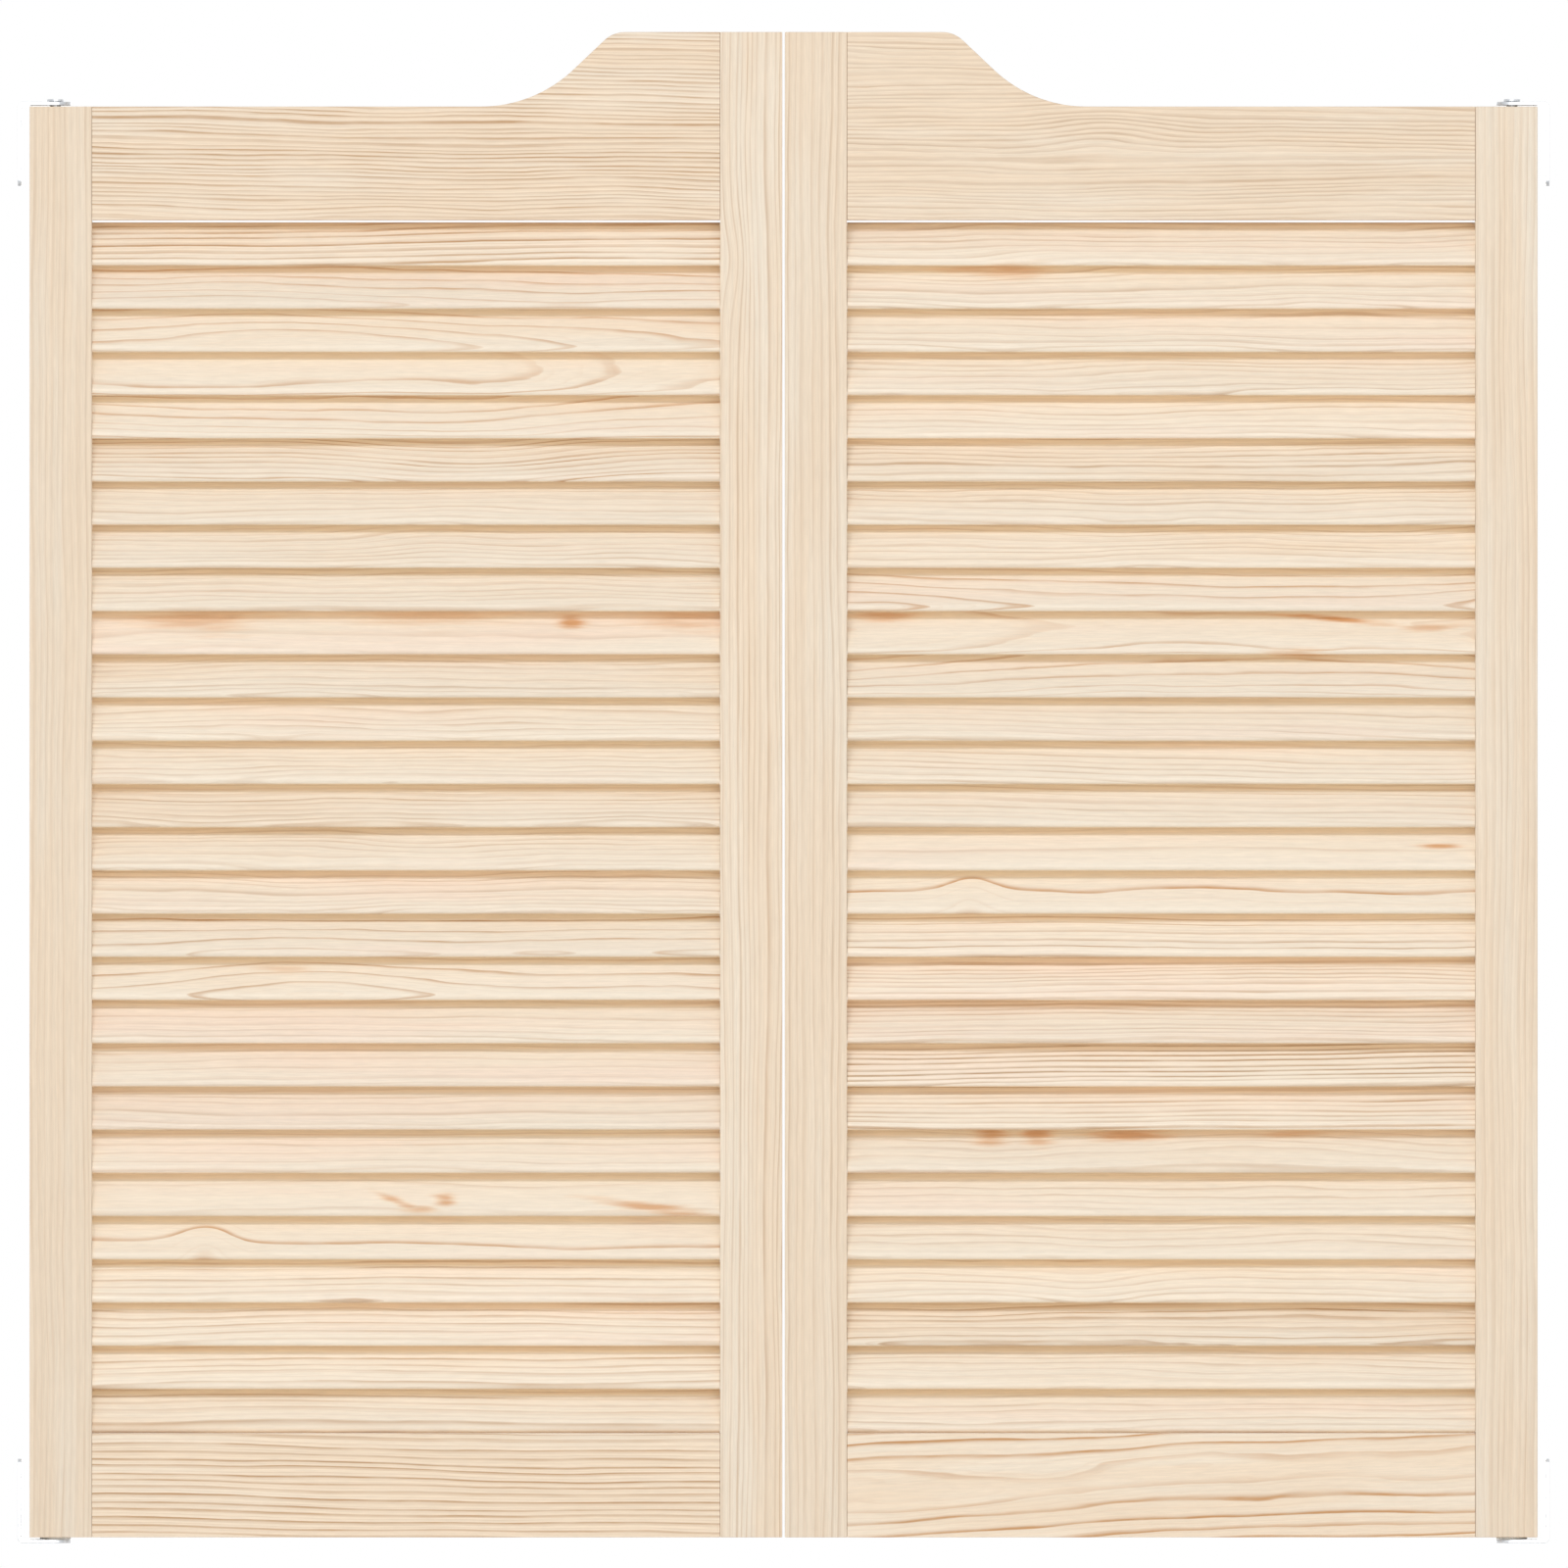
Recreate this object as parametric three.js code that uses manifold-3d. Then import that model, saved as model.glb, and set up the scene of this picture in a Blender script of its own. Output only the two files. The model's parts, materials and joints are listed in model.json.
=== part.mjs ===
// A pair of louvred cafe doors in pine. Each leaf swings both ways on a sprung pivot in its hinge stile.
// Millimetres, +Z up, front towards -Y. The origin is midway between the two jambs, at mid thickness,
// level with the underside of the bottom brackets.
import * as THREE from "three";
import { mergeVertices } from "three/addons/utils/BufferGeometryUtils.js";
import Module from "manifold-3d";

const wasm = await Module();
wasm.setup();

// Clearances
const FIT = 0.3; // between pieces that touch or are glued, and round a pin
const SWING_CLEARANCE = 1; // between a swinging corner of the leaf and the jamb bracket
const OVERRUN = 1; // how far a shape that cuts or joins runs past the face that it crosses

// Leaf
const LEAF_WIDTH = 533.4;
const LEAF_THICKNESS = 28.6;
const HINGE_STILE_HEIGHT = 1014;
const CREST_RISE = 52.8; // how far the meeting stile stands above the hinge stile
const MEETING_GAP = 1.8; // between the two closed leaves
const STILE_WIDTH = 44;
const TOP_RAIL_HEIGHT = 80.3; // at its low end
const BOTTOM_RAIL_HEIGHT = 73.8;
const GROOVE_WIDTH = 10; // groove along each stile's inner edge, for the rail tongues and slat tenons
const GROOVE_DEPTH = 12;

// S-curve along the top rail
const SHOULDER_LENGTH = 67.5; // level stretch beside the meeting stile
const CREST_RADIUS = 21.5;
const COVE_RADIUS = 95;
const RAMP_ANGLE = THREE.MathUtils.degToRad(43.5);

// Louvre slats
const SLAT_COUNT = 28;
const SLATS_PER_GROUP = 2; // slats that share one pair of end spacers
const SLAT_THICKNESS = 7;
const SLAT_SETBACK = 2.5; // from the faces of the leaf
const SLAT_OVERLAP = 0.6; // how far each slat hangs below the top of the next one
const TOP_SLIT = 1.5; // open slit between the top rail and the first slat

// Pivots
const PIVOT_INSET = 18; // from the stile's outer edge to the pivot axis
const PIVOT_DIAMETER = 8;
const PIVOT_BORE = 16; // bore in the stile that the bush, the spring and the cap share
const BUSH_LENGTH = 12;
const FLANGE_DIAMETER = 22;
const FLANGE_THICKNESS = 2;
const WASHER_THICKNESS = 1;
const PIN_HEAD_DIAMETER = 12;
const PIN_HEAD_HEIGHT = 1.6;
const TOP_ARM_GAP = 1; // between the stile's top end and the bracket above it

// Return spring and what holds its ends
const WIRE_DIAMETER = 1.6;
const SPRING_TURNS = 10;
const SPRING_PITCH = 3;
const SEAT_CLEARANCE = 0.6; // between the shaft's spring seat and the bore
const SEAT_THICKNESS = 3;
const CAP_LENGTH = 10;

// Jamb brackets
const BRACKET_THICKNESS = 2.5;
const BRACKET_WIDTH = 22;
const BRACKET_HEIGHT = 60;
const BRACKET_CORNER = 5;
const BEND_RADIUS = 1.5; // inside the bend
const SCREW_HOLE = 4.5;
const SCREW_SPACING = 30;

// How finely round shapes are cut
const ROUND_SIDES = 24;
const HEX_SIDES = 6;
const ARC_STEPS = 2; // per quarter turn of a slat's edge or a bracket's corner
const CURVE_STEPS = 8; // per arc of the S-curve
const CURL_STEPS = 8;
const WIRE_SIDES = 5;

// Levels up the leaf, from its bottom end
const meetingHeight = HINGE_STILE_HEIGHT + CREST_RISE;
const openingBottom = BOTTOM_RAIL_HEIGHT;
const openingTop = HINGE_STILE_HEIGHT - TOP_RAIL_HEIGHT;
const armTop = -(WASHER_THICKNESS + 2 * FIT);
const bushTop = FLANGE_THICKNESS + FIT + BUSH_LENGTH;
const seatBottom = bushTop + FIT;
const springBottom = seatBottom + SEAT_THICKNESS + FIT;
const springTop = springBottom + SPRING_TURNS * SPRING_PITCH + 2 * WIRE_DIAMETER;
const capBottom = springTop + FIT;
const capTop = capBottom + CAP_LENGTH;
const topArm = HINGE_STILE_HEIGHT + TOP_ARM_GAP + BRACKET_THICKNESS;
const leafLift = BRACKET_THICKNESS - armTop;

// Widths across the leaf, from its hinge edge
const openingStart = STILE_WIDTH;
const openingEnd = LEAF_WIDTH - STILE_WIDTH;
const tongueStart = openingStart - GROOVE_DEPTH + FIT;
const tongueEnd = openingEnd + GROOVE_DEPTH - FIT;
const sweepRadius = Math.hypot(PIVOT_INSET, LEAF_THICKNESS / 2);
const bracketInner = PIVOT_INSET - sweepRadius - SWING_CLEARANCE;
const jambFace = bracketInner - BRACKET_THICKNESS;

// Half sizes through the thickness
const halfLeaf = LEAF_THICKNESS / 2;
const halfTongue = GROOVE_WIDTH / 2 - FIT;

// Slat spacing and slope
const slatPitch = (openingTop - openingBottom - TOP_SLIT - FIT - SLAT_OVERLAP) / SLAT_COUNT;
const slatRise = slatPitch + SLAT_OVERLAP - SLAT_THICKNESS;
const slatRun = LEAF_THICKNESS - 2 * SLAT_SETBACK - SLAT_THICKNESS;
const slatAngle = Math.atan2(slatRise, slatRun);
const firstSlat = openingTop - TOP_SLIT - (slatPitch + SLAT_OVERLAP) / 2;

const pine = new THREE.MeshStandardMaterial({ color: 0xecd9c1, roughness: 0.6, metalness: 0 });
const zinc = new THREE.MeshStandardMaterial({ color: 0xd4d6d8, roughness: 0.4, metalness: 0.9 });
const springSteel = new THREE.MeshStandardMaterial({ color: 0x8c9094, roughness: 0.35, metalness: 1 });
const nylon = new THREE.MeshStandardMaterial({ color: 0xf1efe9, roughness: 0.5, metalness: 0 });

const ALONG = {
  x: [new THREE.Vector3(0, 1, 0), new THREE.Vector3(0, 0, 1), new THREE.Vector3(1, 0, 0)],
  y: [new THREE.Vector3(1, 0, 0), new THREE.Vector3(0, 0, 1), new THREE.Vector3(0, -1, 0)],
  z: [new THREE.Vector3(1, 0, 0), new THREE.Vector3(0, 1, 0), new THREE.Vector3(0, 0, 1)],
};

// Turns a closed geometry into a solid that can be joined and cut.
function solid(geometry) {
  const bare = new THREE.BufferGeometry();
  bare.setAttribute("position", geometry.attributes.position);
  bare.setIndex(geometry.index);
  const merged = mergeVertices(bare);
  const vertProperties = new Float32Array(merged.attributes.position.array);
  const triVerts = new Uint32Array(merged.index.array);
  return new wasm.Manifold(new wasm.Mesh({ numProp: 3, vertProperties, triVerts }));
}

function shapeOf(manifold) {
  const { vertProperties, triVerts } = manifold.getMesh();
  const geometry = new THREE.BufferGeometry();
  geometry.setAttribute("position", new THREE.BufferAttribute(vertProperties, 3));
  geometry.setIndex(new THREE.BufferAttribute(triVerts, 1));
  geometry.computeVertexNormals();
  return geometry;
}

function joined(...geometries) {
  return shapeOf(geometries.map(solid).reduce((whole, piece) => whole.add(piece)));
}

function cut(body, ...tools) {
  return shapeOf(tools.map(solid).reduce((rest, tool) => rest.subtract(tool), solid(body)));
}

function common(...geometries) {
  return shapeOf(geometries.map(solid).reduce((rest, piece) => rest.intersect(piece)));
}

function box(x0, x1, y0, y1, z0, z1) {
  const geometry = new THREE.BoxGeometry(x1 - x0, y1 - y0, z1 - z0);
  return geometry.translate((x0 + x1) / 2, (y0 + y1) / 2, (z0 + z1) / 2);
}

// Extrudes a flat outline along one axis: YZ outlines along x, XZ outlines along y, XY outlines along z.
function prism(outline, axis, from, to, curveSegments = ARC_STEPS) {
  const options = { depth: to - from, bevelEnabled: false, curveSegments };
  const geometry = new THREE.ExtrudeGeometry(outline, options);
  geometry.translate(0, 0, axis === "y" ? -to : from);
  return geometry.applyMatrix4(new THREE.Matrix4().makeBasis(...ALONG[axis]));
}

// Upright bar with any number of sides, centred on the pivot axis.
function bar(diameter, z0, z1, sides = ROUND_SIDES) {
  const geometry = new THREE.CylinderGeometry(diameter / 2, diameter / 2, z1 - z0, sides);
  return geometry.rotateX(Math.PI / 2).translate(PIVOT_INSET, 0, (z0 + z1) / 2);
}

// Turned ring round the pivot axis, from the corners [radius, height] of its section.
function turned(corners) {
  const profile = [...corners, corners[0]].map(([radius, height]) => new THREE.Vector2(radius, height));
  return new THREE.LatheGeometry(profile, ROUND_SIDES).rotateX(Math.PI / 2).translate(PIVOT_INSET, 0, 0);
}

function hingeStile() {
  const blank = box(0, STILE_WIDTH, -halfLeaf, halfLeaf, 0, HINGE_STILE_HEIGHT);
  const recess = FLANGE_THICKNESS + FIT;
  const recessWidth = FLANGE_DIAMETER + 2 * FIT;
  const topBore = HINGE_STILE_HEIGHT - bushTop - FIT;
  return cut(
    blank,
    groove(STILE_WIDTH - GROOVE_DEPTH, STILE_WIDTH + OVERRUN, HINGE_STILE_HEIGHT),
    bar(PIVOT_BORE, -OVERRUN, capTop + FIT),
    bar(recessWidth, -OVERRUN, recess),
    bar(PIVOT_BORE, topBore, HINGE_STILE_HEIGHT + OVERRUN),
    bar(recessWidth, HINGE_STILE_HEIGHT - recess, HINGE_STILE_HEIGHT + OVERRUN),
  );
}

function meetingStile() {
  const blank = box(openingEnd, LEAF_WIDTH, -halfLeaf, halfLeaf, 0, meetingHeight);
  return cut(blank, groove(openingEnd - OVERRUN, openingEnd + GROOVE_DEPTH, meetingHeight));
}

function groove(x0, x1, height) {
  return box(x0, x1, -GROOVE_WIDTH / 2, GROOVE_WIDTH / 2, -OVERRUN, height + OVERRUN);
}

function tongue(x0, x1, z0, z1) {
  return box(x0, x1, -halfTongue, halfTongue, z0, z1);
}

// Upper edge: level shoulder, convex crest, straight ramp, concave cove, level run to the hinge stile.
function topRail() {
  const start = openingStart + FIT;
  const end = openingEnd - FIT;
  const crest = openingEnd - SHOULDER_LENGTH;
  const bothArcs = CREST_RADIUS + COVE_RADIUS;
  const ramp = (CREST_RISE - bothArcs * (1 - Math.cos(RAMP_ANGLE))) / Math.sin(RAMP_ANGLE);
  const cove = crest - bothArcs * Math.sin(RAMP_ANGLE) - ramp * Math.cos(RAMP_ANGLE);
  const up = Math.PI / 2;
  const outline = new THREE.Shape();
  outline.moveTo(start, openingTop);
  outline.lineTo(end, openingTop);
  outline.lineTo(end, meetingHeight);
  outline.absarc(crest, meetingHeight - CREST_RADIUS, CREST_RADIUS, up, up + RAMP_ANGLE, false);
  outline.absarc(cove, HINGE_STILE_HEIGHT + COVE_RADIUS, COVE_RADIUS, RAMP_ANGLE - up, -up, true);
  outline.lineTo(start, HINGE_STILE_HEIGHT);
  return joined(
    prism(outline, "y", -halfLeaf, halfLeaf, CURVE_STEPS),
    tongue(tongueStart, start + OVERRUN, openingTop, HINGE_STILE_HEIGHT),
    tongue(end - OVERRUN, tongueEnd, openingTop, meetingHeight),
  );
}

function bottomRail() {
  return joined(
    box(openingStart + FIT, openingEnd - FIT, -halfLeaf, halfLeaf, 0, openingBottom),
    tongue(tongueStart, tongueEnd, 0, openingBottom),
  );
}

// Bull-nosed board that rises from front to back, with a stub tenon at each end for the stile grooves.
function slat(height) {
  const frontDown = [-slatRun / 2, height - slatRise / 2];
  const backUp = [slatRun / 2, height + slatRise / 2];
  const across = slatAngle + Math.PI / 2;
  const section = new THREE.Shape();
  section.absarc(...frontDown, SLAT_THICKNESS / 2, across, across + Math.PI, false);
  section.absarc(...backUp, SLAT_THICKNESS / 2, across + Math.PI, across + 2 * Math.PI, false);
  const slope = halfTongue * Math.tan(slatAngle);
  const half = SLAT_THICKNESS / 2 / Math.cos(slatAngle);
  const tenon = new THREE.Shape();
  tenon.moveTo(-halfTongue, height - slope - half);
  tenon.lineTo(halfTongue, height + slope - half);
  tenon.lineTo(halfTongue, height + slope + half);
  tenon.lineTo(-halfTongue, height - slope + half);
  return [
    prism(section, "x", openingStart + FIT, openingEnd - FIT),
    prism(tenon, "x", tongueStart, tongueEnd),
  ];
}

// Neighbouring slats on shared end spacers, which fill the stile grooves and stack on the group below.
function slatGroup(first, count) {
  const heights = Array.from({ length: count }, (_, k) => firstSlat - (first + k) * slatPitch);
  const top = heights[0] + (slatPitch - FIT) / 2;
  const bottom = heights[count - 1] - (slatPitch - FIT) / 2;
  return joined(
    ...heights.flatMap(slat),
    tongue(tongueStart, openingStart, bottom, top),
    tongue(openingEnd, tongueEnd, bottom, top),
  );
}

// Flanged nylon bush, flush with the stile's end. It is drawn for the bottom end.
function bush() {
  const bore = PIVOT_DIAMETER / 2 + FIT;
  const body = PIVOT_BORE / 2 - FIT;
  const flange = FLANGE_DIAMETER / 2;
  return turned([
    [bore, 0],
    [flange, 0],
    [flange, FLANGE_THICKNESS],
    [body, FLANGE_THICKNESS],
    [body, bushTop],
    [bore, bushTop],
  ]);
}

function plainRing(outerDiameter, z0, z1) {
  const bore = PIVOT_DIAMETER / 2 + FIT;
  const outer = outerDiameter / 2;
  return turned([
    [bore, z0],
    [outer, z0],
    [outer, z1],
    [bore, z1],
  ]);
}

// Fixed shaft with a spring seat. Its hexagonal foot keeps it from turning in the bracket's arm.
function bottomShaft() {
  const seat = PIVOT_BORE - 2 * SEAT_CLEARANCE;
  return joined(
    bar(PIVOT_DIAMETER, armTop + FIT, capTop),
    bar(PIVOT_DIAMETER, armTop - BRACKET_THICKNESS, armTop + 2 * FIT, HEX_SIDES),
    bar(seat, seatBottom, seatBottom + SEAT_THICKNESS),
  );
}

// Pin that drops through the top bracket's arm into the stile.
function topPin() {
  const tip = HINGE_STILE_HEIGHT - bushTop;
  return joined(
    bar(PIVOT_DIAMETER, tip, topArm + 2 * FIT),
    bar(PIN_HEAD_DIAMETER, topArm + FIT, topArm + FIT + PIN_HEAD_HEIGHT),
  );
}

// Torsion spring in the gap between the shaft and the bore, with a short upright leg at each end.
function returnSpring() {
  const radius = (PIVOT_DIAMETER + PIVOT_BORE) / 4;
  const steps = SPRING_TURNS * CURL_STEPS;
  const points = [new THREE.Vector3(radius, 0, springBottom)];
  for (let step = 0; step <= steps; step += 1) {
    const turn = step / CURL_STEPS;
    const angle = turn * 2 * Math.PI;
    const height = springBottom + WIRE_DIAMETER + turn * SPRING_PITCH;
    points.push(new THREE.Vector3(radius * Math.cos(angle), radius * Math.sin(angle), height));
  }
  points.push(new THREE.Vector3(radius, 0, springTop));
  const corners = Array.from({ length: WIRE_SIDES }, (_, k) => {
    const angle = (k / WIRE_SIDES) * 2 * Math.PI;
    return new THREE.Vector2(Math.cos(angle), Math.sin(angle)).multiplyScalar(WIRE_DIAMETER / 2);
  });
  const extrudePath = new THREE.CatmullRomCurve3(points, false, "centripetal");
  const options = { steps: points.length, extrudePath };
  return new THREE.ExtrudeGeometry(new THREE.Shape(corners), options).translate(PIVOT_INSET, 0, 0);
}

// Bent strip: an arm across the stile's end with the pivot hole, and a plate up the jamb with screw holes.
// It is drawn for the bottom end, with the underside of its arm at height 0.
function bracket(holeDiameter, holeSides) {
  const half = BRACKET_WIDTH / 2;
  const tip = PIVOT_INSET + half;
  const bend = jambFace + BRACKET_THICKNESS + BEND_RADIUS;
  const bendHeight = BRACKET_THICKNESS + BEND_RADIUS;
  const quarter = Math.PI / 2;

  const profile = new THREE.Shape();
  profile.moveTo(tip, 0);
  profile.lineTo(bend, 0);
  profile.absarc(bend, bendHeight, bendHeight, -quarter, -2 * quarter, true);
  profile.lineTo(jambFace, BRACKET_HEIGHT);
  profile.lineTo(bracketInner, BRACKET_HEIGHT);
  profile.absarc(bend, bendHeight, BEND_RADIUS, 2 * quarter, 3 * quarter, false);
  profile.lineTo(tip, BRACKET_THICKNESS);

  const plan = new THREE.Shape();
  plan.moveTo(jambFace - OVERRUN, -half);
  plan.lineTo(PIVOT_INSET, -half);
  plan.absarc(PIVOT_INSET, 0, half, -quarter, quarter, false);
  plan.lineTo(jambFace - OVERRUN, half);

  const plate = new THREE.Shape();
  const cornerY = half - BRACKET_CORNER;
  const cornerZ = BRACKET_HEIGHT - BRACKET_CORNER;
  plate.moveTo(-half, -OVERRUN);
  plate.lineTo(half, -OVERRUN);
  plate.absarc(cornerY, cornerZ, BRACKET_CORNER, 0, quarter, false);
  plate.absarc(-cornerY, cornerZ, BRACKET_CORNER, quarter, 2 * quarter, false);
  const middle = (bendHeight + BRACKET_HEIGHT) / 2;
  for (const offset of [-SCREW_SPACING / 2, SCREW_SPACING / 2]) {
    plate.holes.push(new THREE.Path().absarc(0, middle + offset, SCREW_HOLE / 2, 0, 4 * quarter, false));
  }

  const strip = common(
    prism(profile, "y", -half, half),
    prism(plan, "z", -OVERRUN, BRACKET_HEIGHT + OVERRUN, CURVE_STEPS),
    prism(plate, "x", jambFace - OVERRUN, tip + OVERRUN),
  );
  return cut(strip, bar(holeDiameter, -OVERRUN, BRACKET_THICKNESS + OVERRUN, holeSides));
}

function mesh(name, geometry, material, z = 0, flip = 1) {
  const piece = new THREE.Mesh(geometry, material);
  piece.name = name;
  piece.position.z = z;
  piece.scale.z = flip;
  return piece;
}

// One leaf with its pivots, drawn with its hinge edge at x = 0 and its meeting edge towards +X.
function leaf(side) {
  const group = new THREE.Group();
  const name = (piece) => `${side}_${piece}`;
  const hexHole = PIVOT_DIAMETER + (2 * FIT) / Math.cos(Math.PI / HEX_SIDES);
  group.add(
    mesh(name("hinge_stile"), hingeStile(), pine),
    mesh(name("meeting_stile"), meetingStile(), pine),
    mesh(name("top_rail"), topRail(), pine),
    mesh(name("bottom_rail"), bottomRail(), pine),
    mesh(name("bottom_bush"), bush(), nylon),
    mesh(name("top_bush"), bush(), nylon, HINGE_STILE_HEIGHT, -1),
    mesh(name("spring_cap"), plainRing(PIVOT_BORE - 2 * FIT, capBottom, capTop), nylon),
    mesh(name("return_spring"), returnSpring(), springSteel),
    mesh(name("thrust_washer"), plainRing(FLANGE_DIAMETER, armTop + FIT, -FIT), nylon),
    mesh(name("bottom_pivot_shaft"), bottomShaft(), zinc),
    mesh(name("top_pivot_pin"), topPin(), zinc),
    mesh(name("bottom_bracket"), bracket(hexHole, HEX_SIDES), zinc, armTop - BRACKET_THICKNESS),
    mesh(name("top_bracket"), bracket(PIVOT_DIAMETER + 2 * FIT, ROUND_SIDES), zinc, topArm, -1),
  );
  for (let first = 0; first < SLAT_COUNT; first += SLATS_PER_GROUP) {
    const count = Math.min(SLATS_PER_GROUP, SLAT_COUNT - first);
    const number = String(first / SLATS_PER_GROUP + 1).padStart(2, "0");
    group.add(mesh(name(`slat_pair_${number}`), slatGroup(first, count), pine));
  }
  return group;
}

const doors = new THREE.Group();
for (const [side, hand] of [["left", 1], ["right", -1]]) {
  const swinging = leaf(side);
  swinging.scale.x = hand;
  swinging.position.set(-hand * (LEAF_WIDTH + MEETING_GAP / 2), 0, leafLift);
  doors.add(swinging);
}

export default doors;
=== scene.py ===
# Looks for a pair of louvred pine cafe doors. Metres, +Z up, front towards -Y.
import json
import math
import random

import bmesh
import bpy
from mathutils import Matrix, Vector

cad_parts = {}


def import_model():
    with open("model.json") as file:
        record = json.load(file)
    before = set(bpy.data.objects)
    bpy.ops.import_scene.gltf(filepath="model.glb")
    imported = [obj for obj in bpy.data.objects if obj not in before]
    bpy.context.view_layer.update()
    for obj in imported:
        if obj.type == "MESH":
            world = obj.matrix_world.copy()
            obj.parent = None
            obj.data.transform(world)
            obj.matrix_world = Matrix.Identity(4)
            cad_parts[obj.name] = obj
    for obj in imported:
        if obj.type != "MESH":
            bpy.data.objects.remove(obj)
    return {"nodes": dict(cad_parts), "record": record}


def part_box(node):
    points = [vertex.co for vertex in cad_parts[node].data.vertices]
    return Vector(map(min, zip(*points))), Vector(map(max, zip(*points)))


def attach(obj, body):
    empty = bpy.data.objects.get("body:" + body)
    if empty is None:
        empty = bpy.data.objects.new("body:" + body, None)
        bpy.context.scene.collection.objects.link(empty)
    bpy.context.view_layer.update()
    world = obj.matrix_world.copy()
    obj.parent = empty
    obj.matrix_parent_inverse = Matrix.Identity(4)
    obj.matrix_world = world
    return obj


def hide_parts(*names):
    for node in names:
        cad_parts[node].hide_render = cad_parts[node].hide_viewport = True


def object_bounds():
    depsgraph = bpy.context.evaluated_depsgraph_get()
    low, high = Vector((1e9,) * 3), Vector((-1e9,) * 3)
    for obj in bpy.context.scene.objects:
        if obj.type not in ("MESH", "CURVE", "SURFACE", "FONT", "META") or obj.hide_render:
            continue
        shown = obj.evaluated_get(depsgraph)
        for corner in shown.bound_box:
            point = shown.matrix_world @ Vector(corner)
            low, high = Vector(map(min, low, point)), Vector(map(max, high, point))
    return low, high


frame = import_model()
cad_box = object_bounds()

SIDES = ("left", "right")
BODY_OF = {node: body for body, nodes in frame["record"]["behaviour"]["bodies"].items() for node in nodes}

# Boards
EASE = 0.0005  # how far the arrises of the frame boards are rounded
EASE_STEPS = 2
ROUND_PROFILE = 0.5  # makes each of those rounds part of a circle
CREASE = math.radians(12)  # edges sharper than this are shaded as edges
SHARP = math.radians(40)  # edges sharper than this are rounded
FLAT = math.radians(0.5)  # faces closer than this to one plane are joined
WELD = 1e-6  # points closer than this become one

# Slats
SLATS_PER_NODE = 2
SLAT_THICKNESS = 0.007
NOSE_STEPS = 24
TENON_HALF = 0.0047  # half the thickness of the end blocks that fill the stile grooves
FIT = 0.0003
CLOSE = 0.00015  # joint line between the stiles and what is glued between them

# Pivots and brackets
PIVOT_RADIUS = 0.004
PIVOT_BORE = 0.0043  # radius of the bore in the bushes, the washer and the cap
BUSH_RADIUS = 0.0077
FLANGE_THICKNESS = 0.002
PIN_HEAD_HEIGHT = 0.0016
SEAT_RADIUS = 0.0074
SEAT_THICKNESS = 0.003
FOOT_HEIGHT = 0.0031  # of the shaft's hexagonal foot
HEX_SIDES = 6
WIRE_RADIUS = 0.0008
WIRE_STEPS = 3
SPRING_TURNS = 10
SPRING_PITCH = 0.003
BRACKET_THICKNESS = 0.0025
BRACKET_CORNER = 0.005
BEND_RADIUS = 0.0015  # inside the bend
SCREW_HOLE = 0.00225  # radius
SCREW_SPACING = 0.03
METAL_EASE = 0.0003
TURNED_SIDES = 48
CURL_STEPS = 24
BEND_STEPS = CURL_STEPS // 2
OVERRUN = 0.001  # how far a shape that cuts runs past the face that it crosses

# Photograph's framing: distance, width of the view at the doors, and what lies at its centre
CAMERA_DISTANCE = 30.0
VIEW_WIDTH = 1.1117
VIEW_CENTRE = Vector((0.0003, 0.0, 0.538))
SENSOR = 36.0  # millimetres
CLIP_START = 0.1

# Studio
FLOOR_DROP = 0.25  # the doors hang this far above the floor
FLOOR_RADIUS = 3.5
FLOOR_SIDES = 96
FLOOR_FADE = (0.6, 2.8)  # distances from the middle between which the floor turns white
FLOOR_GLOW = 0.45  # how white the floor already is in the middle
AMBIENT = 0.46  # strength of the white world where it lights the wood
MIRRORED = ("Is Glossy Ray", "Is Transmission Ray")  # rays that see the white background as the camera does

INWARDS = Vector((0, 1, 0))


def linear(red, green, blue):
    """Scene colour from 8-bit display values, by the sRGB curve."""
    def channel(value):
        value /= 255
        return value / 12.92 if value <= 0.04045 else ((value + 0.055) / 1.055) ** 2.4
    return (channel(red), channel(green), channel(blue), 1.0)


# Shader nodes

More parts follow.
